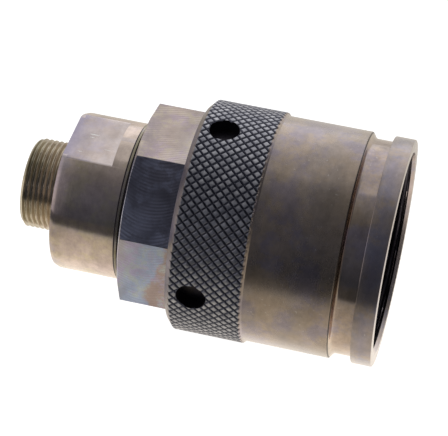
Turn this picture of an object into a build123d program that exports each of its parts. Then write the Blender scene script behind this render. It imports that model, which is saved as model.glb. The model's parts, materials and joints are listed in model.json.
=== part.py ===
"""Female half of a screw-to-connect hydraulic quick disconnect coupling, in millimetres.

The coupling lies along X.  X = 0 is the end face of the tube thread and the mating half leaves
towards +X.  The wrench flats face +Z and -Z, and the sleeve's four pin holes lie on Y and Z.
A tube adapter with a screwed-in valve body is the fixed group, the coupling sleeve turns on it,
and a sprung poppet slides in it.
"""
import os

from build123d import *

# ---------------------------------------------------------------- driving dimensions
# tube adapter: M26 x 1.5 thread with a 24 degree cone for an 18 mm tube
THREAD_R = 12.95
THREAD_END = 10.4
RELIEF_R = 11.5
FACE_X = 12.0
BODY_R = 22.7
FLAT_END = 26.6
BODY_FLATS = 41.0
TUBE_R = 9.05
TUBE_STOP_X = 12.0
CONE_MOUTH_R = 10.05
CONE_DEPTH = 4.7
FLOW_R = 7.5
ADAPTER_END = 46.5

# coupling sleeve, outside
COLLAR_X, COLLAR_R = 30.9, 23.45
OCT_X, OCT_FLATS, OCT_CORNER_R = 33.4, 56.2, 30.0
SHOULDER_X, SHOULDER_R = 48.0, 31.4
KNURL_X, KNURL_END, KNURL_R = 49.7, 69.3, 33.3
SMOOTH_X, SMOOTH_END, SMOOTH_R = 70.1, 94.0, 32.45
GROOVE_X, GROOVE_END, GROOVE_R = 95.6, 100.5, 30.75
MOUTH_X = 106.4
RIM_EDGE = 0.25
PIN_HOLE_X, PIN_HOLE_R, PIN_HOLE_DEPTH = 55.8, 4.2, 4.2

# coupling sleeve, inside: M58 x 2 thread, shown plain at its minor diameter
CAVITY_R = 26.92
SLEEVE_THREAD_R = 27.92
SLEEVE_THREAD_X = 79.5
UNDERCUT_X, UNDERCUT_R = 77.0, 29.2
LEAD_IN_R = 28.9
LEAD_IN = LEAD_IN_R - SLEEVE_THREAD_R
RUNNING_GAP = 0.05
WALL_END = 44.9

# valve body
FLANGE_END, FLANGE_R = 51.5, 26.6
SPIGOT_X, SPIGOT_R = 31.0, 17.0
NOSE_END, NOSE_R = 78.0, 21.0
CHAMBER_R = 13.2
NOSE_BORE_R = 15.0
SEAT_POCKET_R = 14.5
GUIDE_BORE_R = 14.2

# valve, closed position
SPIDER_X, SPIDER_END = 33.0, 37.0
STEM_R = 4.0
STEM_X = 28.0
HEAD_X, HEAD_END, HEAD_R = 54.0, 59.5, 11.5
SEAL_END = 61.0
SEAT_X, SEAT_END, SEAT_R = 61.1, 66.0, 9.6
RETAINER_END = 65.0
SPRING_CUP = 1.2
SPRING_WIRE_R = 1.0
SPRING_R = 8.6
SPRING_TURNS = 4.5

# seals, rings and washers
ORING_R = 1.3
BACKUP = 1.4
SIDE_PLAY = 0.1
CIRCLIP_X, CIRCLIP_THICK, CIRCLIP_GROOVE_R = 52.9, 1.8, 28.1
WIPER_X, WIPER_R = 38.0, 1.5


# ---------------------------------------------------------------- shape helpers
def turned(*points):
    """A solid turned about X from (x, radius) points."""
    outline = Plane.XZ * make_face(Polyline(*points, close=True))
    return revolve(outline, axis=Axis.X)


def ring(x0, x1, r_in, r_out):
    """A plain ring from x0 to x1."""
    return turned((x0, r_in), (x1, r_in), (x1, r_out), (x0, r_out))


def rod(x0, x1, r):
    """A plain round bar from x0 to x1."""
    return turned((x0, 0), (x1, 0), (x1, r), (x0, r))


def round_ring(x, r, section_r):
    """A ring of round section, centred at x on radius r."""
    outline = Plane.XZ * Pos(x, r) * Circle(section_r)
    return revolve(outline, axis=Axis.X)


def prism(x0, x1, sketch):
    """A sketch drawn in the YZ plane, extruded from x0 to x1."""
    return Pos(x0, 0, 0) * extrude(Plane.YZ * sketch, x1 - x0)


def gap_in_ring(x0, x1, radius, width):
    """The block that opens a circlip or snap ring at its top."""
    return Pos((x0 + x1) / 2, 0, radius) * Box(2 * (x1 - x0), width, radius)


# ---------------------------------------------------------------- tube adapter
def tube_adapter():
    """Threaded stub, round body with two wrench flats, and the socket for the valve body."""
    body = turned(
        (0, 0), (0, THREAD_R - 0.9), (0.9, THREAD_R), (THREAD_END, THREAD_R),
        (THREAD_END + 0.7, RELIEF_R), (FACE_X, RELIEF_R), (FACE_X, BODY_R - 0.45),
        (FACE_X + 1.3, BODY_R), (ADAPTER_END, BODY_R), (ADAPTER_END, 0),
    )
    flats = Pos((FACE_X + FLAT_END) / 2, 0, 0) * Box(FLAT_END - FACE_X, 2 * BODY_R, BODY_FLATS)
    round_part = rod(FACE_X, FLAT_END, BODY_R + 1)
    body -= round_part - flats
    body -= turned(
        (0, 0), (0, CONE_MOUTH_R), (CONE_DEPTH, TUBE_R), (TUBE_STOP_X, TUBE_R),
        (TUBE_STOP_X, FLOW_R), (27.0, FLOW_R), (29.5, 11.0), (29.5, SPIGOT_R),
        (ADAPTER_END, SPIGOT_R), (ADAPTER_END, 0),
    )
    return body


# ---------------------------------------------------------------- valve body
ADAPTER_SEAL_X = 41.0
ADAPTER_SEAL_FLOOR = SPIGOT_R - 2 * ORING_R
NOSE_SEAL_X = 70.6
NOSE_SEAL_FLOOR = NOSE_BORE_R + 2 * ORING_R
SEAL_GROOVE = 2 * ORING_R + BACKUP + 2 * SIDE_PLAY
SNAP_THICK = 1.2
GUIDE_SNAP_R = GUIDE_BORE_R + 1.0
SEAT_SNAP_R = NOSE_BORE_R + 0.8


def valve_body():
    """Screwed spigot, thrust flange and nose, with the valve chamber and the nose bore."""
    body = turned(
        (SPIGOT_X, 0), (SPIGOT_X, SPIGOT_R - 1), (SPIGOT_X + 1, SPIGOT_R), (ADAPTER_END, SPIGOT_R),
        (ADAPTER_END, FLANGE_R), (FLANGE_END, FLANGE_R), (FLANGE_END, NOSE_R),
        (NOSE_END - 1, NOSE_R), (NOSE_END, NOSE_R - 1), (NOSE_END, 0),
    )
    body -= ring(ADAPTER_SEAL_X, ADAPTER_SEAL_X + SEAL_GROOVE, ADAPTER_SEAL_FLOOR, SPIGOT_R + 1)
    body -= turned(
        (SPIGOT_X, 0), (SPIGOT_X, GUIDE_BORE_R), (SPIDER_END, GUIDE_BORE_R),
        (SPIDER_END, CHAMBER_R), (SEAT_X, CHAMBER_R), (SEAT_X, SEAT_POCKET_R),
        (SEAT_END, SEAT_POCKET_R), (SEAT_END, SEAT_SNAP_R), (SEAT_END + SNAP_THICK, SEAT_SNAP_R),
        (SEAT_END + SNAP_THICK, NOSE_BORE_R), (NOSE_END - 1, NOSE_BORE_R),
        (NOSE_END, NOSE_BORE_R + 1), (NOSE_END, 0),
    )
    body -= ring(SPIDER_X - SNAP_THICK, SPIDER_X, GUIDE_BORE_R, GUIDE_SNAP_R)
    body -= ring(NOSE_SEAL_X, NOSE_SEAL_X + SEAL_GROOVE, NOSE_BORE_R, NOSE_SEAL_FLOOR)
    return body


# ---------------------------------------------------------------- coupling sleeve
def sleeve_outside():
    """Collar, octagon, knurled band, smooth barrel, groove and rim."""
    octagon = RegularPolygon(OCT_FLATS / 2, 8, major_radius=False, rotation=22.5)
    blank = turned(
        (OCT_X, 0), (OCT_X, OCT_CORNER_R - 2.0), (OCT_X + 0.7, OCT_CORNER_R),
        (SHOULDER_X, OCT_CORNER_R), (SHOULDER_X, 0),
    )
    wrench_part = blank & prism(OCT_X, SHOULDER_X, octagon)
    collar = turned(
        (COLLAR_X, 0), (COLLAR_X, COLLAR_R - 0.4), (COLLAR_X + 0.4, COLLAR_R),
        (OCT_X, COLLAR_R), (OCT_X, 0),
    )
    barrel = turned(
        (SHOULDER_X, 0), (SHOULDER_X, SHOULDER_R), (KNURL_X, KNURL_R), (KNURL_END, KNURL_R),
        (SMOOTH_X, SMOOTH_R), (SMOOTH_END, SMOOTH_R), (GROOVE_X, GROOVE_R),
        (GROOVE_END, GROOVE_R), (GROOVE_END, SMOOTH_R - RIM_EDGE),
        (GROOVE_END + RIM_EDGE, SMOOTH_R), (MOUTH_X - RIM_EDGE, SMOOTH_R),
        (MOUTH_X, SMOOTH_R - RIM_EDGE), (MOUTH_X, 0),
    )
    return collar + wrench_part + barrel


def sleeve_inside():
    """Running bore, flange chamber, circlip groove, undercut, thread and lead-in."""
    hollow = turned(
        (COLLAR_X, 0), (COLLAR_X, BODY_R + RUNNING_GAP), (WALL_END, BODY_R + RUNNING_GAP),
        (WALL_END, CAVITY_R), (UNDERCUT_X, CAVITY_R), (UNDERCUT_X, UNDERCUT_R),
        (SLEEVE_THREAD_X, UNDERCUT_R), (SLEEVE_THREAD_X, SLEEVE_THREAD_R),
        (MOUTH_X - LEAD_IN, SLEEVE_THREAD_R), (MOUTH_X, LEAD_IN_R), (MOUTH_X, 0),
    )
    hollow += ring(CIRCLIP_X, CIRCLIP_X + CIRCLIP_THICK, BODY_R, CIRCLIP_GROOVE_R)
    hollow += ring(WIPER_X - WIPER_R, WIPER_X + WIPER_R, BODY_R, BODY_R + 2 * WIPER_R)
    return hollow


def coupling_sleeve():
    """The turning sleeve with its four blind holes for a pin wrench."""
    sleeve = sleeve_outside() - sleeve_inside()
    drill = Pos(PIN_HOLE_X, 0, KNURL_R - PIN_HOLE_DEPTH + 5) * Cylinder(PIN_HOLE_R, 10)
    for turn in range(4):
        sleeve -= Rot(90 * turn, 0, 0) * drill
    return sleeve


# ---------------------------------------------------------------- rings on the sleeve and body
def sleeve_circlip():
    """Internal circlip in the sleeve, open at the top."""
    clip = ring(CIRCLIP_X, CIRCLIP_X + CIRCLIP_THICK, 24.0, CIRCLIP_GROOVE_R)
    return clip - gap_in_ring(CIRCLIP_X, CIRCLIP_X + CIRCLIP_THICK, 24.0, 7.0)


def snap_ring(x, r_out):
    """Small internal snap ring from x, open at the top."""
    clip = ring(x, x + SNAP_THICK, r_out - 2.2, r_out)
    return clip - gap_in_ring(x, x + SNAP_THICK, r_out, 5.0)


# ---------------------------------------------------------------- valve
def guide_spider():
    """Hub and rim joined by three legs: it guides the stem and lets the oil pass."""
    spider = ring(SPIDER_X, SPIDER_END, STEM_R + RUNNING_GAP, GUIDE_BORE_R)
    windows = ring(SPIDER_X, SPIDER_END, 6.6, 12.2)
    for turn in range(3):
        leg = Pos((SPIDER_X + SPIDER_END) / 2, 0, GUIDE_BORE_R / 2)
        windows -= Rot(120 * turn, 0, 0) * leg * Box(SPIDER_END - SPIDER_X, 3.0, GUIDE_BORE_R)
    return spider - windows


STEM_THREAD_R = 3.0
SCREW_R = 2.5
BOSS_R = 6.0


def poppet_stem():
    """Guide stem with a threaded end in the poppet."""
    return turned(
        (STEM_X, 0), (STEM_X, STEM_R - 0.5), (STEM_X + 0.5, STEM_R), (HEAD_X, STEM_R),
        (HEAD_X, STEM_THREAD_R), (HEAD_X + 4, STEM_THREAD_R), (HEAD_X + 4, 0),
    )


def poppet():
    """Valve head with a boss for the seal, a socket for the stem and one for the screw."""
    head = turned(
        (HEAD_X, 0), (HEAD_X, HEAD_R - 0.8), (HEAD_X + 0.8, HEAD_R), (HEAD_END, HEAD_R),
        (HEAD_END, BOSS_R), (SEAL_END, BOSS_R), (SEAL_END, 0),
    )
    head -= rod(HEAD_X, HEAD_X + 4, STEM_THREAD_R)
    return head - rod(HEAD_X + 4.5, SEAL_END, SCREW_R)


def seal_retainer():
    """Front disc of the poppet, countersunk for its screw."""
    return turned(
        (SEAL_END, SCREW_R), (SEAL_END, 9.2), (RETAINER_END - 1, 9.2), (RETAINER_END, 8.2),
        (RETAINER_END, 5.0), (RETAINER_END - 2.5, SCREW_R),
    )


def retainer_screw():
    """Countersunk screw with a hexagon socket, through the retainer into the poppet."""
    screw = turned(
        (HEAD_X + 4.5, 0), (HEAD_X + 4.5, SCREW_R), (RETAINER_END - 2.5, SCREW_R),
        (RETAINER_END - 0.1, 4.9), (RETAINER_END - 0.1, 0),
    )
    return screw - prism(RETAINER_END - 2.2, RETAINER_END, RegularPolygon(1.5, 6, major_radius=False))


def poppet_spring():
    """Compression spring between the guide spider and the spring cup."""
    length = HEAD_X - SPRING_CUP - SPIDER_END - 2 * SPRING_WIRE_R
    coil = Helix(length / SPRING_TURNS, length, SPRING_R, (SPIDER_END + SPRING_WIRE_R, 0, 0), (1, 0, 0))
    section = Plane(coil @ 0, z_dir=coil % 0) * Circle(SPRING_WIRE_R)
    return sweep(section, path=coil, is_frenet=True)


SEAT_SEAL_X = SEAT_X + 1.0


def valve_seat_ring():
    """Seat ring with a groove for its O-ring."""
    seat = ring(SEAT_X, SEAT_END, SEAT_R, SEAT_POCKET_R)
    groove_end = SEAT_SEAL_X + 2 * ORING_R + SIDE_PLAY
    return seat - ring(SEAT_SEAL_X, groove_end, SEAT_POCKET_R - 2 * ORING_R, SEAT_POCKET_R)


# ---------------------------------------------------------------- the parts
PARTS = {
    "tube_adapter": tube_adapter(),
    "valve_body": valve_body(),
    "adapter_oring": round_ring(ADAPTER_SEAL_X + ORING_R, SPIGOT_R - ORING_R, ORING_R),
    "adapter_backup_ring": ring(
        ADAPTER_SEAL_X + SEAL_GROOVE - BACKUP, ADAPTER_SEAL_X + SEAL_GROOVE, ADAPTER_SEAL_FLOOR, SPIGOT_R
    ),
    "thrust_washer": ring(WALL_END + SIDE_PLAY, ADAPTER_END, BODY_R + 0.1, FLANGE_R),
    "guide_spider": guide_spider(),
    "guide_snap_ring": snap_ring(SPIDER_X - SNAP_THICK, GUIDE_SNAP_R),
    "valve_seat_ring": valve_seat_ring(),
    "seat_oring": round_ring(SEAT_SEAL_X + ORING_R, SEAT_POCKET_R - ORING_R, ORING_R),
    "seat_snap_ring": snap_ring(SEAT_END, SEAT_SNAP_R),
    "nose_oring": round_ring(NOSE_SEAL_X + ORING_R, NOSE_BORE_R + ORING_R, ORING_R),
    "nose_backup_ring": ring(
        NOSE_SEAL_X + SEAL_GROOVE - BACKUP, NOSE_SEAL_X + SEAL_GROOVE, NOSE_BORE_R, NOSE_SEAL_FLOOR
    ),
    "poppet_spring": poppet_spring(),
    "spring_cup": ring(HEAD_X - SPRING_CUP, HEAD_X, STEM_R, HEAD_R - 1.2),
    "poppet": poppet(),
    "poppet_stem": poppet_stem(),
    "poppet_seal": ring(HEAD_END, SEAL_END, BOSS_R, 10.9),
    "seal_retainer": seal_retainer(),
    "retainer_screw": retainer_screw(),
    "coupling_sleeve": coupling_sleeve(),
    "sleeve_wiper_ring": round_ring(WIPER_X, BODY_R + RUNNING_GAP + WIPER_R, WIPER_R - 0.05),
    "sleeve_washer": ring(FLANGE_END + SIDE_PLAY, CIRCLIP_X, NOSE_R + 0.4, CAVITY_R),
    "sleeve_circlip": sleeve_circlip(),
}

os.makedirs("parts", exist_ok=True)
for name, solid in PARTS.items():
    solid.label = name
    export_step(solid, f"parts/{name}.step")
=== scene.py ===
"""Looks of a screw-to-connect hydraulic coupler half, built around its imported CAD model.

The coupler lies along X on its knurled band, mouth towards +X.  Lengths named in capitals are in
millimetres, measured from the tube thread's end face or from the axis; meshes are in metres, and
so are the studio's lengths.
"""
import json
import math

import bmesh
import bpy
import numpy as np
from mathutils import Matrix, Vector


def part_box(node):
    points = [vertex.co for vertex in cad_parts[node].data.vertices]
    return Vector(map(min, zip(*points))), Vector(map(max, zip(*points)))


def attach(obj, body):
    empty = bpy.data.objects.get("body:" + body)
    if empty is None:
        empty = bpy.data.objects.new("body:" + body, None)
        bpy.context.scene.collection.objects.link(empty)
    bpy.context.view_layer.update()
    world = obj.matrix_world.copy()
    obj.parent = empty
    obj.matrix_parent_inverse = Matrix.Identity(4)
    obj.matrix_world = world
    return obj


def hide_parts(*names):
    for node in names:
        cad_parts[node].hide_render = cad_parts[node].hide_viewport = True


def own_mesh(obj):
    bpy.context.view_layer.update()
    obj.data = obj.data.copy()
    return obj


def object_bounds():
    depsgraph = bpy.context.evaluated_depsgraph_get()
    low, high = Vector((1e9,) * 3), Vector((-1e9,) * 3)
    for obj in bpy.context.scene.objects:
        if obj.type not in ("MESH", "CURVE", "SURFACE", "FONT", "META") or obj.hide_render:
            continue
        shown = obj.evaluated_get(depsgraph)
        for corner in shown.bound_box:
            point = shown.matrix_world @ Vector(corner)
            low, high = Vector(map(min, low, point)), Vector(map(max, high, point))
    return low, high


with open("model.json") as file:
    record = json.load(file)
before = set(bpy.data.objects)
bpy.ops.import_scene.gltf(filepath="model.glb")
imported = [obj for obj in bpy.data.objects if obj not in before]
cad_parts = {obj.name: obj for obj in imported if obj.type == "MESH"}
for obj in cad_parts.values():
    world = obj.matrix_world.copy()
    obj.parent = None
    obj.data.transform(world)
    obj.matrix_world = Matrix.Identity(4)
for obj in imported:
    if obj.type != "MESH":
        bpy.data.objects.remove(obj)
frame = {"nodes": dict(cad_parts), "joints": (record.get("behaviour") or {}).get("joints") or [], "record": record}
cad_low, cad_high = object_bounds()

MM = 0.001
MOUNTS = {mount["name"]: mount for mount in frame["record"]["mounts"]}


def across(node):
    """A node's largest radius about the X axis, in millimetres."""
    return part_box(node)[1][1] / MM


# ---------------------------------------------------------------- sizes, in millimetres
# tube adapter
TUBE_THREAD_R = MOUNTS["tube_thread"]["dims"]["r_mm"]
TUBE_THREAD_END = 10.4
TUBE_PITCH, TUBE_THREAD_DEPTH = 1.5, 0.9
RELIEF_R = 11.5
FACE_X = 12.0
BODY_R = across("tube_adapter")
FACE_BEVEL, FACE_BEVEL_DEPTH = 1.3, 0.45
FLAT_END, FLAT_HALF = 26.6, MOUNTS["wrench_flat_up"]["pos_m"][2] / MM
ADAPTER_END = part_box("tube_adapter")[1][0] / MM
SLEEVE_EDGE_X = 30.6
CONE_MOUTH_R, CONE_DEPTH, TUBE_STOP_X = 10.05, 4.7, 12.0
TUBE_R = MOUNTS["tube_socket"]["dims"]["r_mm"]
FLOW_R, SPIGOT_R = 7.5, 17.0
SPIGOT_STOP_X, STEP_X, STEP_R = 29.5, 27.0, 11.0
STUB_WALL_R = 9.5

# coupling sleeve
COLLAR_X, COLLAR_END, COLLAR_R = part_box("coupling_sleeve")[0][0] / MM, 31.85, 23.45
NECK_R = COLLAR_R - 0.45
OCT_X, OCT_HALF, OCT_CORNER_R = 33.4, 28.1, 30.38
OCT_BEVEL, OCT_BEVEL_DEPTH = 0.7, 2.0
SHOULDER_X, SHOULDER_R = 48.0, 31.4
KNURL_X, KNURL_END, KNURL_R = 49.7, 69.3, across("coupling_sleeve")
SMOOTH_X, SMOOTH_END, SMOOTH_R = 70.1, 94.0, 32.45
SEAM_X, SEAM_END = SMOOTH_END + 0.02, SMOOTH_END + 0.32
GROOVE_X, GROOVE_END, GROOVE_R = 95.6, 100.5, 30.75
MOUTH_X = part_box("coupling_sleeve")[1][0] / MM
RIM_EDGE = 0.35
HOLE_R = MOUNTS["pin_hole_1"]["dims"]["r_mm"]
HOLE_DEPTH = MOUNTS["pin_hole_1"]["dims"]["length_mm"]
HOLE_X = MOUNTS["pin_hole_1"]["pos_m"][0] / MM
HOLE_SINK, HOLE_SINK_DEPTH = 0.35, 0.3
BORE_R, WALL_END = 22.75, 44.9
CAVITY_R = 26.92
MOUTH_THREAD_R = MOUNTS["sleeve_thread"]["dims"]["r_mm"]
MOUTH_THREAD_X, MOUTH_PITCH, MOUTH_THREAD_DEPTH = 79.5, 2.0, 1.05
LEAD_IN_R = 28.9
CLIP_X, CLIP_END, CLIP_GROOVE_R = 52.9, 54.7, 28.1
UNDERCUT_X, UNDERCUT_R = 77.0, 29.2
WIPER_X, WIPER_END, WIPER_GROOVE_R = 36.5, 39.5, 25.75

# knurl: diamonds in straight rows round the band, each row this long
KNURL_COUNT, KNURL_ROW, KNURL_STEPS = 80, 2.84, 10
KNURL_DEPTH, KNURL_SHALLOW, KNURL_DOME = 0.53, 0.37, 0.14
KNURL_CUT = 0.21        # half a groove's width, in diamonds

# where the wrench flats are scratched: middle x and y, half length and half width
SCRATCHES = [(18.2, 1.9, 1.7, 0.26), (17.8, 0.7, 0.9, 0.16), (23.4, -3.4, 1.2, 0.12),
             (16.2, -6.0, 0.8, 0.14)]


# ---------------------------------------------------------------- meshes
def make_object(name, points, faces, material=None):
    """A mesh object from points in millimetres and faces as rows of corner numbers."""
    mesh = bpy.data.meshes.new(name)
    mesh.from_pydata((points * MM).tolist(), [], faces.tolist())
    obj = bpy.data.objects.new(name, mesh)
    bpy.context.scene.collection.objects.link(obj)
    if material:
        mesh.materials.append(material)
    return obj


def smooth_by_angle(obj, degrees=28):
    """Smooth shading, with an edge left sharp where it turns by more than the angle."""
    mesh = obj.data
    mesh.polygons.foreach_set("use_smooth", np.ones(len(mesh.polygons), bool))
    mesh.set_sharp_from_angle(angle=math.radians(degrees))
    mesh.update()
    return obj


def angles(steps, extra=()):
    """Even angles round X in degrees, with some extra ones, sorted."""
    even = np.arange(steps) * 360 / steps
    return np.unique(np.round(np.concatenate([even, np.mod(extra, 360)]), 6))


def turned_points(x, r, turn):
    """Rings round X: y = r cos(turn), z = r sin(turn), with x and r per row or per point."""
    x, r, turn = np.broadcast_arrays(x, r, np.radians(turn)[None, :])
    return np.stack([x, r * np.cos(turn), r * np.sin(turn)], axis=-1)


def ring_faces(rows, columns, loop):
    """Quads of a grid closed round X, and along its profile too when loop is true."""
    last = rows if loop else rows - 1
    i, j = np.meshgrid(np.arange(last), np.arange(columns), indexing="ij")
    up, side = (i + 1) % rows, (j + 1) % columns
    corners = [i * columns + j, i * columns + side, up * columns + side, up * columns + j]
    return np.stack(corners, axis=-1).reshape(-1, 4)


def turned(name, x, r, turn, material=None):
    """A closed turned solid from rows of x and r that run round its section, outside first.

    A row of radius 0 becomes one point, so a solid without a bore starts and ends on the axis.
    """
    points = turned_points(x, r, turn)
    rows, columns = points.shape[:2]
    on_axis = bool(np.allclose(points[0, :, 1:], 0))
    obj = make_object(name, points.reshape(-1, 3), ring_faces(rows, columns, not on_axis), material)
    merge_close(obj)
    return obj


def merge_close(obj, distance=1e-8):
    """Merges points that lie on each other and drops the faces that this flattens."""
    work = bmesh.new()
    work.from_mesh(obj.data)
    bmesh.ops.remove_doubles(work, verts=work.verts, dist=distance)
    bmesh.ops.dissolve_degenerate(work, edges=work.edges, dist=distance)
    work.to_mesh(obj.data)
    work.free()


def column(values):
    """One value per row, ready to broadcast along the ring."""
    return np.asarray(values, float)[:, None]


def full_rings(rows, turn):
    """The radii of (x, radius) rows, each repeated all the way round."""
    return np.repeat(column([r for _, r in rows]), len(turn), axis=1)


def thread_cut(x, turn, pitch, crest, depth):
    """Depth of a right-handed 60 degree thread below its crest: the distance along X from the
    nearest crest, less half the crest's width, times the tangent of 60, up to the full depth."""
    along = x / pitch - turn / 360
    off_crest = np.abs(along - np.round(along)) * pitch
    return np.clip((off_crest - crest / 2) * math.tan(math.radians(60)), 0, depth)


def about_axis(centre, normal):
    """Each face's distance from the X axis, and how far its normal points away from the axis."""
    radius = np.hypot(centre[:, 1], centre[:, 2])
    return radius, (normal[:, 1] * centre[:, 1] + normal[:, 2] * centre[:, 2]) / radius


def paint_faces(obj, materials, choose):
    """Adds materials after the first, and gives each face the number that choose() returns
    from the face centres (mm) and normals."""
    mesh = obj.data
    for material in materials:
        mesh.materials.append(material)
    count = len(mesh.polygons)
    centre, normal = np.empty(count * 3), np.empty(count * 3)
    mesh.polygons.foreach_get("center", centre)
    mesh.polygons.foreach_get("normal", normal)
    number = choose(centre.reshape(-1, 3) / MM, normal.reshape(-1, 3))
    mesh.polygons.foreach_set("material_index", number.astype(np.int32))
    mesh.update()


# ---------------------------------------------------------------- shader expressions
class Value:
    """A socket in a shader.  Arithmetic on values adds the Math nodes that work it out."""

    def __init__(self, graph, socket):
        self.graph, self.socket = graph, socket

    def __add__(self, other):
        return self.graph.math("ADD", self, other)

    def __mul__(self, other):
        return self.graph.math("MULTIPLY", self, other)

    def __sub__(self, other):
        return self.graph.math("SUBTRACT", self, other)

    def __rsub__(self, other):
        return self.graph.math("SUBTRACT", other, self)

    def __truediv__(self, other):
        return self.graph.math("DIVIDE", self, other)

    def __pow__(self, other):
        return self.graph.math("POWER", self, other)

    __radd__, __rmul__ = __add__, __mul__


class Shader:
    """A node graph of one material or of the world, with a method for any node."""

    def __init__(self, owner):
        owner.use_nodes = True
        self.tree = owner.node_tree
        self.tree.nodes.clear()
        self.where = None

    def node(self, kind, settings=None, sockets=None, out=0):
        """Adds a node: its settings first (a ramp's stops among them), then its sockets."""
        made = self.tree.nodes.new(kind)
        for key, value in (settings or {}).items():
            if key == "stops":
                self.set_stops(made.color_ramp, value)
            else:
                setattr(made, key, value)
        for key, value in (sockets or {}).items():
            if isinstance(value, Value):
                self.tree.links.new(value.socket, made.inputs[key])
            else:
                made.inputs[key].default_value = value
        return Value(self, made.outputs[out]) if made.outputs else made

    @staticmethod
    def set_stops(ramp, stops):
        """Puts (position, colour) stops into a ramp; a plain number is a grey."""
        while len(ramp.elements) > 1:
            ramp.elements.remove(ramp.elements[0])
        for number, (position, colour) in enumerate(stops):
            element = ramp.elements[0] if number == 0 else ramp.elements.new(position)
            element.position = position
            element.color = (*np.broadcast_to(colour, 3), 1.0)

    def math(self, operation, *terms):
        return self.node("ShaderNodeMath", {"operation": operation}, dict(enumerate(terms)))

    def colours(self, factor, first, second, blend="MIX"):
        """Mixes two colours by a factor."""
        settings = {"data_type": "RGBA", "blend_type": blend}
        ends = [c if isinstance(c, Value) else (*c, 1.0) for c in (first, second)]
        return self.node("ShaderNodeMix", settings, {0: factor, 6: ends[0], 7: ends[1]}, out=2)

    def tinted(self, colour, value):
        """A colour made lighter or darker by a value."""
        return self.colours(1.0, colour, self.place(value, value, value), "MULTIPLY")

    def ramp(self, factor, stops):
        """A colour from (position, colour) stops."""
        return self.node("ShaderNodeValToRGB", {"stops": stops}, {0: factor})

    def place(self, x=None, y=None, z=None):
        """A vector from three values or numbers."""
        return self.node("ShaderNodeCombineXYZ", None, {0: x or 0.0, 1: y or 0.0, 2: z or 0.0})

    def axes(self):
        """Object coordinates in millimetres: x, y, z and the distance from the X axis."""
        point = self.node("ShaderNodeTexCoord", None, None, out=3)
        split = self.node("ShaderNodeSeparateXYZ", None, {0: point})
        outs = split.socket.node.outputs
        x, y, z = (Value(self, outs[k]) * 1000.0 for k in range(3))
        self.where = point
        return x, y, z, self.math("SQRT", y * y + z * z)

    def noise(self, vector, scale, detail=2.0, rough=0.5, stretch=None):
        """Cloudy values round 0.5, drawn out along an axis where its stretch is under 1."""
        if stretch:
            vector = self.node("ShaderNodeMapping", None, {0: vector, 3: stretch})
        sockets = {"Vector": vector, "Scale": scale, "Detail": detail, "Roughness": rough}
        return self.node("ShaderNodeTexNoise", None, sockets)

    def step(self, value, low, high):
        """0 below low, 1 above high, smooth between; low may be above high."""
        return self.node("ShaderNodeMapRange", {"interpolation_type": "SMOOTHSTEP"},
                         {0: value, 1: low, 2: high, 3: 0.0, 4: 1.0})

    def bump(self, height, distance, before=None):
        """A bump of height 0 to 1 over a distance in millimetres."""
        sockets = {"Height": height, "Distance": distance * MM, "Strength": 1.0}
        if before is not None:
            sockets["Normal"] = before
        return self.node("ShaderNodeBump", None, sockets)

    def surface(self, **sockets):
        """Ends a material in a Principled shader with these sockets, spaces written as _."""
        named = {key.replace("_", " "): value for key, value in sockets.items()}
        shader = self.node("ShaderNodeBsdfPrincipled", None, named)
        self.node("ShaderNodeOutputMaterial", None, {"Surface": shader})


def material(name):
    """An empty material and its shader graph."""
    made = bpy.data.materials.new(name)
    return made, Shader(made)


# ---------------------------------------------------------------- film colours
TAN = (0.65, 0.55, 0.44)
SAND = (0.67, 0.57, 0.42)
HONEY = (0.66, 0.57, 0.46)
STRAW = (0.64, 0.54, 0.37)
OLIVE = (0.42, 0.38, 0.28)
BROWN = (0.64, 0.53, 0.475)
WARM_BROWN = (0.70, 0.55, 0.43)
RUSSET = (0.58, 0.47, 0.45)
COPPER = (0.48, 0.38, 0.37)
PINK_GREY = (0.62, 0.545, 0.505)
PALE_PINK = (0.66, 0.58, 0.55)
BRIGHT_PINK = (0.74, 0.65, 0.63)
ROSE_GREY = (0.62, 0.54, 0.54)
DEEP_ROSE = (0.51, 0.44, 0.45)
MAUVE_GREY = (0.59, 0.52, 0.54)
MAUVE = (0.55, 0.48, 0.55)
HEATHER = (0.56, 0.49, 0.58)
ORCHID = (0.60, 0.49, 0.56)
PLUM = (0.53, 0.45, 0.54)
DIM_PLUM = (0.52, 0.45, 0.53)
VIOLET = (0.50, 0.45, 0.56)
LAVENDER = (0.53, 0.46, 0.67)
LILAC_GREY = (0.54, 0.51, 0.56)
SLATE = (0.47, 0.45, 0.58)
BLUE_GREY = (0.45, 0.52, 0.72)
SEA_GREY = (0.49, 0.54, 0.56)
PALE_BLUE = (0.56, 0.58, 0.72)
STEEL_BLUE = (0.48, 0.50, 0.64)
NAVY = (0.40, 0.40, 0.50)
CHARCOAL = (0.31, 0.30, 0.36)
INK = (0.26, 0.25, 0.30)
KNURL_GROOVE = (0.15, 0.155, 0.195)
KNURL_TOP = (0.66, 0.66, 0.70)
BARE_STEEL = (0.95, 0.94, 0.92)
DUST = (0.80, 0.78, 0.75)


# ---------------------------------------------------------------- finishes
def film_base(s, x, stops, cloud, tints, amount, size=1.0):
    """Film colour from stops along X (x in mm, colour) that drifts with a cloud, with a set of
    patches in each of two tints; a greater size makes the patches larger."""
    low, high = stops[0][0], stops[-1][0]
    drift = (x - low) / (high - low) + (cloud - 0.5) * 0.6
    base = s.ramp(drift, [((stop - low) / (high - low), colour) for stop, colour in stops])
    first = s.step(s.noise(s.where, 60.0 / size, 5.0, 0.7), 0.46, 0.60)
    second = s.step(s.noise(s.where, 97.0 / size, 5.0, 0.7), 0.49, 0.61)
    base = s.colours(first * amount, base, tints[0])
    return s.colours(second * amount, base, tints[1])


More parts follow.
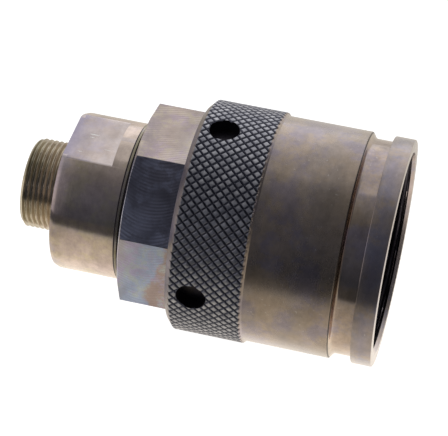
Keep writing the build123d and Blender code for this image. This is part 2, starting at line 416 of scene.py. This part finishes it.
def turned_film(name, stops, lightness=1.0, rough=0.22, marks=1.0, tints=(VIOLET, STRAW),
                amount=0.45, coat=0.0):
    """Turned steel under a thin plated film: the film's colour changes along X, with patches of
    other tints and darker handling stains, and tool marks run round the axis."""
    made, s = material(name)
    x, y, z, r = s.axes()
    cloud = s.noise(s.where, 85.0, 4.0, 0.6)
    base = film_base(s, x, stops, cloud, tints, amount)
    track = s.place(x + r)
    fine = s.noise(track, 3.6, 2.0, 0.6)
    broad = s.noise(track, 0.9, 2.0, 0.5)
    stain = s.noise(s.where, 60.0, 8.0, 0.74, stretch=(1.0, 0.7, 0.7))
    grain = s.noise(s.where, 520.0, 3.0, 0.6)
    turned = (fine + broad - 1.0) * (0.11 * marks)
    base = s.tinted(base, (turned + stain * 1.8 + grain * 0.36 - 0.08) * lightness)
    speck = s.step(s.noise(s.where, 1100.0, 1.0, 0.5), 0.73, 0.78)
    base = s.colours(speck * 0.3, base, DUST)
    gloss = rough + (cloud - 0.5) * 0.14 + fine * 0.04
    normal = s.bump(fine, 0.006 * marks)
    normal = s.bump(broad, 0.008 * marks, normal)
    s.surface(Base_Color=base, Metallic=1.0, Roughness=gloss, Normal=normal, Coat_Weight=coat,
              Coat_Roughness=0.25)
    return made


def knurled_black(name):
    """Blue-black film on the knurl, lighter on the diamonds' tops: partly rubbed wear, partly a painted highlight.
    """
    made, s = material(name)
    x, y, z, r = s.axes()
    # painted highlight, partly wear: the lighter top colour on the diamonds' crowns
    top = s.step(r, KNURL_R - 0.22, KNURL_R - 0.02)
    cloud = s.noise(s.where, 420.0, 4.0, 0.65)
    base = s.colours(top * s.step(cloud, 0.15, 0.85), KNURL_GROOVE, KNURL_TOP)
    gloss = 0.46 - top * 0.08 + (cloud - 0.5) * 0.12
    s.surface(Base_Color=base, Metallic=1.0, Roughness=gloss, Normal=s.bump(cloud, 0.03))
    return made


def milled_flat(name, stops, lightness=1.0, rough=0.2, tints=(VIOLET, STRAW), amount=0.3,
                marks=1.0, middle=40.5, arc=13.0, slant=0.0):
    """Flats milled across the axis: the cutter's marks are equal arcs one feed apart, so they
    are bands of (distance round the axis) - (x - middle) squared / (2 arc radius).  The film's
    colours lean along X by up to the slant from one side of a flat to the other."""
    made, s = material(name)
    x, y, z, r = s.axes()
    cloud = s.noise(s.where, 120.0, 4.0, 0.6)
    around = s.math("ARCTAN2", z, y * -1.0)
    lean = s.math("SINE", around * 4.0) * slant
    base = film_base(s, x - lean, stops, cloud, tints, amount, 0.4)
    feed = around * OCT_HALF - (x - middle) ** 2 / (2 * arc)
    band = s.math("SINE", feed * 6.9 + cloud * 3.0) * 0.5 + 0.5
    line = s.noise(s.place(feed), 2.4, 3.0, 0.7)
    banded = s.step(s.noise(s.where, 170.0, 2.0, 0.5), 0.35, 0.65)
    mark = line * 0.6 + band * banded * 0.4
    shade = (mark - 0.45) * (0.5 * marks) + (cloud - 0.5) * 0.9 + 0.86
    base = s.tinted(base, shade * lightness)
    s.surface(Base_Color=base, Metallic=1.0, Roughness=rough + (cloud - 0.5) * 0.12,
              Normal=s.bump(mark, 0.014 * marks))
    return made


def scratched_flat(name, stops, lightness=1.0):
    """A bright wrench flat: tinted film with a few short scratches rubbed through it.  Each is
    an ellipse, broken up by a cloud."""
    made, s = material(name)
    x, y, z, r = s.axes()
    cloud = s.noise(s.where, 110.0, 4.0, 0.6)
    base = film_base(s, x, stops, cloud, (HEATHER, BROWN), 0.5, 0.6)
    stain = s.noise(s.where, 90.0, 6.0, 0.7, stretch=(1.0, 0.5, 1.0))
    base = s.tinted(base, (stain * 1.3 + cloud * 0.40 + 0.15) * lightness)
    ragged = s.noise(s.where, 1500.0, 2.0, 0.6, stretch=(0.4, 1.0, 1.0))
    scratch = 0.0
    for mark_x, mark_y, half_length, half_width in SCRATCHES:
        off = ((x - mark_x) / half_length) ** 2 + ((y - mark_y) / half_width) ** 2
        scratch = s.math("MAXIMUM", scratch, s.step(off + ragged, 1.5, 0.7))
    base = s.colours(scratch * 0.85, base, BARE_STEEL)
    s.surface(Base_Color=base, Metallic=1.0, Roughness=0.22 + scratch * 0.2,
              Normal=s.bump(cloud, 0.01))
    return made


def plain_metal(name, colour, rough):
    """Plain machined metal with fine marks round the axis."""
    made, s = material(name)
    x, y, z, r = s.axes()
    line = s.noise(s.place(x + r), 4.0, 2.0, 0.6)
    cloud = s.noise(s.where, 600.0, 3.0, 0.6)
    base = s.tinted(colour, 0.8 + line * 0.2 + cloud * 0.2)
    s.surface(Base_Color=base, Metallic=1.0, Roughness=rough + cloud * 0.1 - 0.05,
              Normal=s.bump(line, 0.005))
    return made


def soft_finish(name, colour, rough, grain):
    """Rubber or plastic with a fine grain."""
    made, s = material(name)
    s.axes()
    cloud = s.noise(s.where, grain, 4.0, 0.6)
    base = s.tinted(colour, 0.75 + cloud * 0.5)
    s.surface(Base_Color=base, Metallic=0.0, Roughness=rough + cloud * 0.15,
              Normal=s.bump(cloud, 0.01))
    return made


FINISH = {
    "body": turned_film(
        "body_turned_film", [(12, MAUVE_GREY), (14, BROWN), (24, BROWN), (46, TAN)],
        lightness=1.03, rough=0.12, marks=0.8, tints=(RUSSET, SAND), amount=0.7),
    # painted shade: a near-black strip on the bevel just past the smooth barrel, standing in for the shadow of the
    # groove's step
    "seam": turned_film(
        "barrel_seam_film", [(93, BROWN), (96, BROWN)], lightness=0.16, rough=0.3),
    "barrel": turned_film(
        "barrel_turned_film",
        [(70, BROWN), (74, WARM_BROWN), (84, BROWN), (93, WARM_BROWN), (97, BROWN)],
        lightness=0.55, rough=0.25, marks=0.6, tints=(PLUM, WARM_BROWN), amount=0.8, coat=0.8),
    "rim": turned_film(
        "rim_turned_film", [(100, BROWN), (103, MAUVE), (107, BROWN)],
        lightness=0.62, rough=0.22, marks=0.8, tints=(SLATE, WARM_BROWN), amount=0.7, coat=0.8),
    "groove": turned_film(
        "groove_turned_film", [(94, TAN), (96, BROWN), (101, BROWN)],
        lightness=0.80, rough=0.11, tints=(DIM_PLUM, WARM_BROWN), amount=0.7),
    "shoulder": turned_film(
        "shoulder_turned_film", [(47, VIOLET), (50, PINK_GREY)], lightness=0.47, rough=0.3),
    "collar": turned_film("collar_turned_film", [(30, OLIVE), (33, OLIVE)], lightness=0.8),
    "thread": turned_film(
        "thread_turned_film", [(0, OLIVE), (12, TAN)], lightness=0.88, rough=0.2, amount=0.1),
    # painted shade: near-black film on bores, threads, pin holes, the collar's neck and end and the body beside
    # the collar, standing in for the shade in these hollows and gaps
    "inside": turned_film(
        "inside_turned_film", [(30, VIOLET), (107, VIOLET)], lightness=0.14, rough=0.4),
    "knurl": knurled_black("knurl_black_film"),
    "flat_warm": milled_flat(
        "octagon_warm_film", [(33, DEEP_ROSE), (41, BROWN), (48, PALE_PINK)],
        lightness=0.95, tints=(ORCHID, HONEY), marks=0.9, amount=0.7, middle=20.0, arc=60.0),
    "flat_navy": milled_flat(
        "octagon_navy_film", [(30, PALE_BLUE), (37, NAVY), (45, CHARCOAL)],
        lightness=1.05, tints=(INK, STEEL_BLUE), amount=0.55, marks=1.7, slant=5.5),
    "flat_blue": milled_flat(
        "octagon_blue_film",
        [(33, LILAC_GREY), (38, BLUE_GREY), (43.6, BLUE_GREY), (44.8, COPPER), (48, COPPER)],
        lightness=1.08, tints=(LAVENDER, SEA_GREY), amount=0.7, marks=0.5, slant=2.4),
    "wrench_flat": scratched_flat(
        "wrench_flat_film", [(12, VIOLET), (17, ROSE_GREY), (25, BRIGHT_PINK)], lightness=0.95),
    "valve_steel": plain_metal("valve_plain_steel", (0.50, 0.48, 0.45), 0.3),
    "spring_steel": plain_metal("spring_dark_steel", (0.24, 0.24, 0.25), 0.35),
    "bearing_bronze": plain_metal("bearing_bronze", (0.60, 0.42, 0.22), 0.35),
    "seal_rubber": soft_finish("seal_black_rubber", (0.025, 0.025, 0.027), 0.5, 900.0),
    "backup_plastic": soft_finish("backup_white_plastic", (0.78, 0.76, 0.70), 0.4, 500.0),
}


# ---------------------------------------------------------------- tube adapter
def adapter():
    """Stub with its thread, round body with two flats, and the bores, as one closed skin.

    The radius is the smallest of the turned profile, the thread and, over the flats' length,
    the flats' half distance divided by the sine of the angle from them.
    """
    edge = math.degrees(math.acos(FLAT_HALF / BODY_R))
    turn = angles(180, [side + sign * edge for side in (90, 270) for sign in (-1, 1)])
    stub_x = np.linspace(0, TUBE_THREAD_END, 112)
    lead = TUBE_THREAD_R - 0.9 + stub_x
    cut = thread_cut(column(stub_x), turn[None, :], TUBE_PITCH, TUBE_PITCH / 8, TUBE_THREAD_DEPTH)
    stub_r = np.minimum(TUBE_THREAD_R - cut, column(lead))
    with np.errstate(divide="ignore"):
        flat_r = FLAT_HALF / np.abs(np.sin(np.radians(turn)))[None, :]
    bevel_x = FACE_X + FACE_BEVEL
    outer = [
        (TUBE_THREAD_END + 0.7, RELIEF_R, False), (FACE_X, RELIEF_R, False),
        (FACE_X, BODY_R - FACE_BEVEL_DEPTH, True), (bevel_x, BODY_R, True), (FLAT_END, BODY_R, True),
        (FLAT_END, BODY_R, False), (SLEEVE_EDGE_X, BODY_R, False), (ADAPTER_END, BODY_R, False),
    ]
    inner = [
        (ADAPTER_END, SPIGOT_R), (SPIGOT_STOP_X, SPIGOT_R), (SPIGOT_STOP_X, STEP_R), (STEP_X, FLOW_R),
        (TUBE_STOP_X, FLOW_R), (TUBE_STOP_X, TUBE_R), (CONE_DEPTH, TUBE_R), (0, CONE_MOUTH_R),
    ]
    rows_r = [np.minimum(r, flat_r) if flat else np.full_like(flat_r, r) for _, r, flat in outer]
    inner_r = [np.full_like(flat_r, r) for _, r in inner]
    x = np.concatenate([stub_x, [p[0] for p in outer], [p[0] for p in inner]])
    r = np.concatenate([stub_r, *rows_r, *inner_r])
    obj = turned("tube_adapter_body", column(x), r, turn, FINISH["body"])

    def choose(centre, normal):
        radius = np.hypot(centre[:, 1], centre[:, 2])
        flat = (np.abs(normal[:, 2]) > 0.999) & (centre[:, 0] > FACE_X) & (radius > SPIGOT_R)
        stub = (centre[:, 0] < FACE_X - 0.01) & (radius > STUB_WALL_R)
        hidden = (radius < SPIGOT_R + 0.1) & (np.abs(normal[:, 0]) < 0.9)
        # painted shade: the bores, and the body from the sleeve's edge on, get the near-black inside finish, a
        # painted shadow of the gap beside the collar
        inside = ~stub & (hidden | (centre[:, 0] > SLEEVE_EDGE_X))
        return np.select([stub, inside, flat], [1, 2, 3], 0)

    paint_faces(obj, [FINISH["thread"], FINISH["inside"], FINISH["wrench_flat"]], choose)
    return smooth_by_angle(obj)


# ---------------------------------------------------------------- coupling sleeve
def octagon_radius(turn):
    """Distance from the axis to the octagon: half its flats divided by the cosine of the angle
    from the nearest flat, and no more than the corners' radius."""
    off = np.mod(turn + 22.5, 45) - 22.5
    return np.minimum(OCT_HALF / np.cos(np.radians(off)), OCT_CORNER_R)


def sleeve_wrench_end():
    """Collar and octagon, with the running bore and the wiper ring's groove inside."""
    corner = math.degrees(math.acos(OCT_HALF / OCT_CORNER_R))
    turn = angles(144, [45 * k + s * corner for k in range(8) for s in (-1, 1)])
    octagon = octagon_radius(turn)[None, :]
    face_r = OCT_CORNER_R - OCT_BEVEL_DEPTH
    bevel_x = OCT_X + np.clip(octagon - face_r, 0, None) / OCT_BEVEL_DEPTH * OCT_BEVEL
    ones = np.ones_like(octagon)
    rows = [
        (COLLAR_X, COLLAR_R - 0.5), (COLLAR_X + 0.3, COLLAR_R), (COLLAR_END - 0.1, COLLAR_R),
        (COLLAR_END, COLLAR_R - 0.15), (COLLAR_END, NECK_R), (OCT_X, NECK_R),
        (OCT_X, np.minimum(octagon, face_r) - 0.2), (OCT_X + 0.2, np.minimum(octagon, face_r)),
        (bevel_x + 0.2, octagon), (SHOULDER_X, octagon),
        (SHOULDER_X, CAVITY_R), (WALL_END, CAVITY_R), (WALL_END, BORE_R),
        (WIPER_END, BORE_R), (WIPER_END, WIPER_GROOVE_R), (WIPER_X, WIPER_GROOVE_R),
        (WIPER_X, BORE_R), (COLLAR_X + 0.3, BORE_R), (COLLAR_X, BORE_R + 0.3),
    ]
    x = np.concatenate([x * ones for x, _ in rows])
    r = np.concatenate([r * ones for _, r in rows])
    obj = turned("sleeve_wrench_end", x, r, turn, FINISH["collar"])

    def choose(centre, normal):
        radius, outward = about_axis(centre, normal)
        # painted shade: the collar's left end and bevel, the neck groove before the octagon and the bore get the
        # near-black inside finish, painted shadows of the gaps there
        shaded_neck = (radius < COLLAR_R - 0.02) & ~((centre[:, 0] < COLLAR_END) & (normal[:, 0] > -0.3))
        inside = (outward * radius < -1) | shaded_neck
        flat = (centre[:, 0] > OCT_X + 0.01) & (radius > OCT_HALF - 0.5) & ~inside
        around = np.degrees(np.arctan2(centre[:, 2], -centre[:, 1]))
        number = np.mod(np.round(around / 45) + 8, 8)
        return np.select([inside, flat], [1, 2 + np.mod(number, 3)], 0)

    paint_faces(obj, [FINISH["inside"], FINISH["flat_blue"], FINISH["flat_navy"],
                      FINISH["flat_warm"]], choose)
    return smooth_by_angle(obj, 10)


def knurl_radius(x, turn):
    """Two crossed sets of helical V cuts over slightly domed diamonds.  With a = x / row and
    b = diamonds round the band, the cuts lie where a + b and a - b are whole, each as deep as it
    is near its line, and the second set is shallower."""
    along, around = (x - KNURL_X) / KNURL_ROW, turn * KNURL_COUNT / 360
    lanes = (along + around, along - around)
    off = [np.abs(lane - np.round(lane)) for lane in lanes]
    cut = np.maximum(np.clip(1 - off[0] / KNURL_CUT, 0, 1) * KNURL_SHALLOW,
                     np.clip(1 - off[1] / KNURL_CUT, 0, 1) * KNURL_DEPTH)
    dome = KNURL_DOME * (1 - 2 * np.minimum(off[0], off[1])) ** 2
    return KNURL_R - np.maximum(cut, dome)


def grid_triangles(points, loop_rows):
    """Triangles of a closed grid.  Each square is split along the diagonal whose ends are level,
    and along the lower one where both are, so a valley keeps its bottom line."""
    rows, columns = points.shape[:2]
    quads = ring_faces(rows, columns, loop_rows)
    height = np.hypot(points[..., 1], points[..., 2]).reshape(-1)[quads]
    slope_a = np.abs(height[:, 0] - height[:, 2])
    slope_b = np.abs(height[:, 1] - height[:, 3])
    lower_a = height[:, 0] + height[:, 2] < height[:, 1] + height[:, 3]
    level = np.abs(slope_a - slope_b) < 1e-6
    along_a = np.where(level, lower_a, slope_a < slope_b)[:, None]
    first = np.where(along_a, quads[:, [0, 1, 2]], quads[:, [0, 1, 3]])
    second = np.where(along_a, quads[:, [0, 2, 3]], quads[:, [1, 2, 3]])
    return np.concatenate([first, second])


def pin_hole_cutter(number):
    """Round cutter with a small countersink, on the band's radius at a quarter turn."""
    floor, top = KNURL_R - HOLE_DEPTH, KNURL_R + 1
    sunk = HOLE_R + HOLE_SINK
    depth = column([floor, floor, KNURL_R - HOLE_SINK_DEPTH, KNURL_R + 0.1, top, top])
    radius = column([0, HOLE_R, HOLE_R, sunk, sunk, 0])
    cutter = turned(f"pin_cutter_{number}", depth, radius, angles(48))
    cutter.data.transform(Matrix.Rotation(math.radians(-90), 4, "Y"))
    cutter.data.transform(Matrix.Translation((HOLE_X * MM, 0, 0)))
    cutter.data.transform(Matrix.Rotation(math.radians(90 * number), 4, "X"))
    return cutter


def sleeve_knurl_band():
    """Knurled band between two bevels, with four blind pin holes cut into it."""
    turn = angles(KNURL_COUNT * KNURL_STEPS)
    step = KNURL_ROW / KNURL_STEPS
    rows = round((KNURL_END - KNURL_X) / step)
    knurl_x = KNURL_X + np.arange(rows + 1) * step
    knurl_x = knurl_x[knurl_x < KNURL_END + step / 2]
    left_x = np.linspace(SHOULDER_X, KNURL_X, 7)[:-1]
    right_x = np.array([KNURL_END + 0.4, SMOOTH_X])
    x = np.concatenate([left_x, knurl_x, right_x])
    left = SHOULDER_R + (x - SHOULDER_X) * (KNURL_R - SHOULDER_R) / (KNURL_X - SHOULDER_X)
    right = SMOOTH_R + (SMOOTH_X - x) * (KNURL_R - SMOOTH_R) / (SMOOTH_X - KNURL_END)
    outer = np.minimum(knurl_radius(column(x), turn[None, :]), column(np.minimum(left, right)))
    inner = [(SMOOTH_X, CAVITY_R), (CLIP_END, CAVITY_R), (CLIP_END, CLIP_GROOVE_R),
             (CLIP_X, CLIP_GROOVE_R), (CLIP_X, CAVITY_R), (SHOULDER_X, CAVITY_R)]
    all_x = column(np.concatenate([x, [p[0] for p in inner]]))
    all_r = np.concatenate([outer, full_rings(inner, turn)])
    points = turned_points(all_x, all_r, turn)
    band = make_object("sleeve_knurl_band", points.reshape(-1, 3), grid_triangles(points, True),
                       FINISH["knurl"])
    cutters = [pin_hole_cutter(number) for number in range(4)]
    for cutter in cutters:
        cut = band.modifiers.new("hole", "BOOLEAN")
        cut.operation, cut.object, cut.solver = "DIFFERENCE", cutter, "EXACT"
    finished = bpy.data.meshes.new_from_object(
        band.evaluated_get(bpy.context.evaluated_depsgraph_get()))
    band.modifiers.clear()
    band.data = finished
    for cutter in cutters:
        bpy.data.objects.remove(cutter)

    def choose(centre, normal):
        radius, outward = about_axis(centre, normal)
        edge = (centre[:, 0] < KNURL_X - 0.1) & (radius > OCT_HALF)
        bevel = (centre[:, 0] > KNURL_END + 0.05) & (radius > OCT_HALF)
        # painted shade: the pin holes and the cavity get the near-black inside finish
        below = radius < KNURL_R - KNURL_DEPTH - 0.12
        inside = below & (centre[:, 0] > KNURL_X + 0.5) & (centre[:, 0] < KNURL_END - 0.5)
        inside |= (outward < -0.5) & (radius < CLIP_GROOVE_R + 0.2)
        return np.select([inside, edge, bevel], [1, 2, 3], 0)

    paint_faces(band, [FINISH["inside"], FINISH["shoulder"], FINISH["barrel"]], choose)
    return smooth_by_angle(band, 20)


def sleeve_barrel():
    """Smooth barrel, bevelled groove and rim, then the lead-in and the inside thread."""
    turn = angles(200)
    thread_x = np.linspace(MOUTH_X - (LEAD_IN_R - MOUTH_THREAD_R), MOUTH_THREAD_X, 129)
    cut = thread_cut(column(thread_x), turn[None, :], MOUTH_PITCH, MOUTH_PITCH / 4,
                     MOUTH_THREAD_DEPTH)
    lead = LEAD_IN_R - (MOUTH_X - thread_x)
    thread_r = np.maximum(MOUTH_THREAD_R + cut, column(lead))
    e = RIM_EDGE
    outer = [
        (SMOOTH_X, SMOOTH_R), (SMOOTH_END - 0.12, SMOOTH_R), (SEAM_X, SMOOTH_R - 0.08),
        (SEAM_END, SMOOTH_R - 0.40), (SMOOTH_END + 0.6, GROOVE_R + 0.85),
        (SMOOTH_END + 0.95, GROOVE_R + 0.40), (SMOOTH_END + 1.25, GROOVE_R + 0.14),
        (GROOVE_X, GROOVE_R), (GROOVE_END, GROOVE_R), (GROOVE_END, SMOOTH_R - e),
        (GROOVE_END + 0.3 * e, SMOOTH_R - 0.3 * e), (GROOVE_END + e, SMOOTH_R),
        (MOUTH_X - e, SMOOTH_R), (MOUTH_X - 0.3 * e, SMOOTH_R - 0.3 * e), (MOUTH_X, SMOOTH_R - e),
        (MOUTH_X, LEAD_IN_R),
    ]
    back = [(MOUTH_THREAD_X, UNDERCUT_R), (UNDERCUT_X, UNDERCUT_R), (UNDERCUT_X, CAVITY_R),
            (SMOOTH_X, CAVITY_R)]
    x = np.concatenate([[p[0] for p in outer], thread_x, [p[0] for p in back]])
    r = np.concatenate([full_rings(outer, turn), thread_r, full_rings(back, turn)])
    obj = turned("sleeve_barrel", column(x), r, turn, FINISH["barrel"])

    def choose(centre, normal):
        radius, outward = about_axis(centre, normal)
        lead_in = centre[:, 0] > MOUTH_X - (LEAD_IN_R - MOUTH_THREAD_R)
        # painted shade: the inside thread and the cavity get the near-black inside finish
        inside = (radius < LEAD_IN_R + 0.05) & (outward < 0.9) & ~lead_in
        # painted shade: the strip past the barrel gets the near-black seam finish in place of the groove step's
        # shadow
        seam = (centre[:, 0] > SEAM_X) & (centre[:, 0] < SEAM_END)
        groove = (centre[:, 0] > SMOOTH_END) & (centre[:, 0] < GROOVE_END + 0.01)
        rim = centre[:, 0] > GROOVE_END
        return np.select([inside, seam, groove, rim], [1, 2, 3, 4], 0)

    paint_faces(obj, [FINISH["inside"], FINISH["seam"], FINISH["groove"], FINISH["rim"]], choose)
    return smooth_by_angle(obj)


# ---------------------------------------------------------------- spring
def spring():
    """Round wire wound on a helix whose pitch closes up at both ends: the winding's place along
    X is the turn number, eased to wire's width per turn in the first and last three quarters."""
    low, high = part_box("poppet_spring")[0][0] / MM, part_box("poppet_spring")[1][0] / MM
    wire, mean, turns, dead = 1.0, 8.6, 5.5, 0.75
    t = np.linspace(0, turns, 320)
    pitch = np.where((t < dead) | (t > turns - dead), 0.12, 1.0)
    along = np.concatenate([[0], np.cumsum((pitch[1:] + pitch[:-1]) / 2)])
    x = low + wire + along / along[-1] * (high - low - 2 * wire)
    a = 2 * np.pi * t
    line = np.stack([x, mean * np.cos(a), mean * np.sin(a)], axis=-1)
    tangent = np.gradient(line, axis=0)
    tangent /= np.linalg.norm(tangent, axis=1)[:, None]
    radial = np.stack([0 * a, np.cos(a), np.sin(a)], axis=-1)
    side = np.cross(tangent, radial)
    w = np.radians(angles(16))[None, :, None]
    points = line[:, None] + wire * (np.cos(w) * radial[:, None] + np.sin(w) * side[:, None])
    ends = [np.repeat(line[k][None, None], points.shape[1], axis=1) for k in (0, -1)]
    points = np.concatenate([ends[0], points, ends[1]])
    faces = ring_faces(points.shape[0], points.shape[1], False)
    obj = make_object("poppet_spring_coil", points.reshape(-1, 3), faces, FINISH["spring_steel"])
    merge_close(obj)
    return smooth_by_angle(obj, 40)


# ---------------------------------------------------------------- assembling the looks
def stand_for(obj, node, body):
    """Puts a new piece in a CAD node's place."""
    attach(obj, body)
    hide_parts(node)


stand_for(adapter(), "tube_adapter", "valve_group")
for piece in (sleeve_wrench_end(), sleeve_knurl_band(), sleeve_barrel()):
    stand_for(piece, "coupling_sleeve", "sleeve")

coil = spring()
stand_for(coil, "poppet_spring", "valve_group")
slide = next(joint for joint in frame["joints"] if joint["name"] == "poppet_slide")
spring_low, spring_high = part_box("poppet_spring")
spring_length = spring_high[0] - spring_low[0]
1 - slide["range_m"][1] / spring_length
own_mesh(coil)

SLOTS = {entry["node"]: entry["material_slot"] for entry in frame["record"]["subparts"]}
for node_name, node in frame["nodes"].items():
    if SLOTS[node_name] in FINISH:
        node.data.materials.clear()
        node.data.materials.append(FINISH[SLOTS[node_name]])


# ---------------------------------------------------------------- studio
AIM = Vector((0.05684, 0.0, 0.0))
ELEVATION, AZIMUTH, ROLL = math.radians(42.66), math.radians(12.14), math.radians(3.0)
DISTANCE, LENS = 0.541, 152.7
SHIFT = (0.0006, 0.0031)
SOFTBOX_PLACE = Vector((0.0, 0.42, 0.42))
SOFTBOX_SIZE, SOFTBOX_POWER = (0.9, 0.5), 0.25
FLOOR_HALF = 4
FLOOR_GAP, FLAG_GAP = 0.0002, 0.0001
FLAG_REACH = 400.0      # in millimetres, like the y it divides

# light of the flags: share of their reach from the axis, and colour
FRONT_FADE = [(0.0, (1.18, 1.09, 0.97)), (0.057, (1.10, 1.02, 0.90)), (0.08, (0.80, 0.74, 0.65)),
              (0.10, (0.70, 0.65, 0.56)), (0.14, (0.63, 0.59, 0.50)),
              (0.19, (0.50, 0.46, 0.39)), (0.25, (0.47, 0.44, 0.38)), (0.31, (0.44, 0.42, 0.37)),
              (0.36, 0.32), (0.41, 0.13), (0.46, 0.06)]
BACK_FADE = [(0.0, (1.18, 1.09, 0.97)), (0.2, (0.72, 0.67, 0.60)), (1.0, (0.72, 0.69, 0.64))]

# light of the tent: degrees from the front over the top, and colour
SKY = [(-180, 1.2), (-170, 1.2), (-90, 0.5), (-12, (0.045, 0.050, 0.062)),
       (2, (0.045, 0.050, 0.062)), (15, (0.055, 0.059, 0.073)), (34, (0.082, 0.087, 0.106)),
       (57, (0.112, 0.115, 0.130)), (70, 0.155), (82, 0.22), (94, 0.31), (105, 0.36),
       (121, 0.38), (134, 0.60), (145, 0.74), (160, 0.90), (180, 0.98)]
MOUTH_SKY = (0.10, 0.10, 0.11)
TUBE_SKY = (0.50, 0.48, 0.50)


def studio_camera():
    """A long lens above and slightly to the mouth's side, rolled a little."""
    back = Vector((math.sin(AZIMUTH) * math.cos(ELEVATION), -math.cos(AZIMUTH) * math.cos(ELEVATION),
                   math.sin(ELEVATION)))
    level = Vector((math.cos(AZIMUTH), math.sin(AZIMUTH), 0))
    up = back.cross(level)
    right = level * math.cos(ROLL) + up * math.sin(ROLL)
    upward = up * math.cos(ROLL) - level * math.sin(ROLL)
    data = bpy.data.cameras.new("studio_camera")
    data.lens, data.shift_x, data.shift_y = LENS, *SHIFT
    data.clip_start, data.clip_end = 0.05, 20.0
    camera = bpy.data.objects.new("studio_camera", data)
    turn = Matrix((right, upward, back)).transposed().to_4x4()
    camera.matrix_world = Matrix.Translation(AIM + back * DISTANCE) @ turn
    bpy.context.scene.collection.objects.link(camera)
    bpy.context.scene.camera = camera


def sheet_of(name, corners, made):
    """A flat rectangle from four corners."""
    points = np.array(corners, float) / MM
    obj = make_object(name, points, np.array([[0, 1, 2, 3]]), made)
    return obj


def studio_floor():
    """A pale floor just under the knurled band, which glows like a light table."""
    made, s = material("pale_floor")
    s.surface(Base_Color=(0.6, 0.6, 0.6, 1), Roughness=0.9, Emission_Color=(1, 1, 1, 1),
              Emission_Strength=0.95)
    z, far = cad_low[2] - FLOOR_GAP, FLOOR_HALF
    sheet_of("floor", [(-far, -far, z), (far, -far, z), (far, far, z), (-far, far, z)], made)


def floor_flag(name, fade, side):
    """A sheet just over the floor at one side (-1 front, 1 back), which the camera doesn't see.
    It lets the floor fade away from the coupler as the metal mirrors it."""
    made, s = material(name)
    x, y, z, r = s.axes()
    glow = s.ramp(y * (side / FLAG_REACH), fade)
    light = s.node("ShaderNodeEmission", None, {"Color": glow, "Strength": 1.0})
    s.node("ShaderNodeOutputMaterial", None, {"Surface": light})
    z, half, far = cad_low[2] - FLAG_GAP, FLOOR_HALF, FLOOR_HALF * side
    flag = sheet_of(name, [(-half, far, z), (half, far, z), (half, 0, z), (-half, 0, z)], made)
    flag.visible_camera = flag.visible_diffuse = flag.visible_shadow = False


def softbox():
    """A large soft light over the back of the coupler."""
    data = bpy.data.lights.new("softbox", "AREA")
    data.shape, data.energy = "RECTANGLE", SOFTBOX_POWER
    data.size, data.size_y = SOFTBOX_SIZE
    lamp = bpy.data.objects.new("softbox", data)
    lamp.location = AIM + SOFTBOX_PLACE
    lamp.rotation_euler = SOFTBOX_PLACE.to_track_quat("Z", "X").to_euler()
    bpy.context.scene.collection.objects.link(lamp)


def soft_sky():
    """Studio light as a tent round the X axis: bright overhead and behind, dim in front, pale
    beyond the tube's end and dark beyond the mouth."""
    world = bpy.data.worlds.new("studio_light")
    bpy.context.scene.world = world
    s = Shader(world)
    ray = s.node("ShaderNodeTexCoord", None, None, out=0)
    outs = s.node("ShaderNodeSeparateXYZ", None, {0: ray}).socket.node.outputs
    x, y, z = (Value(s, outs[k]) for k in range(3))
    share = s.math("ARCTAN2", z, y * -1.0) / (2 * math.pi) + 0.5
    light = s.ramp(share, [((a + 180) / 360, v) for a, v in SKY])
    light = s.colours(s.step(x, 0.55, 0.9), light, MOUTH_SKY)
    light = s.colours(s.step(x, -0.45, -0.75), light, TUBE_SKY)
    shade = s.node("ShaderNodeBackground", None, {"Color": light, "Strength": 1.0})
    s.node("ShaderNodeOutputWorld", None, {"Surface": shade})


studio_camera()
studio_floor()
floor_flag("front_flag", FRONT_FADE, -1)
floor_flag("back_flag", BACK_FADE, 1)
softbox()
soft_sky()
bpy.context.scene.view_settings.view_transform = "Standard"
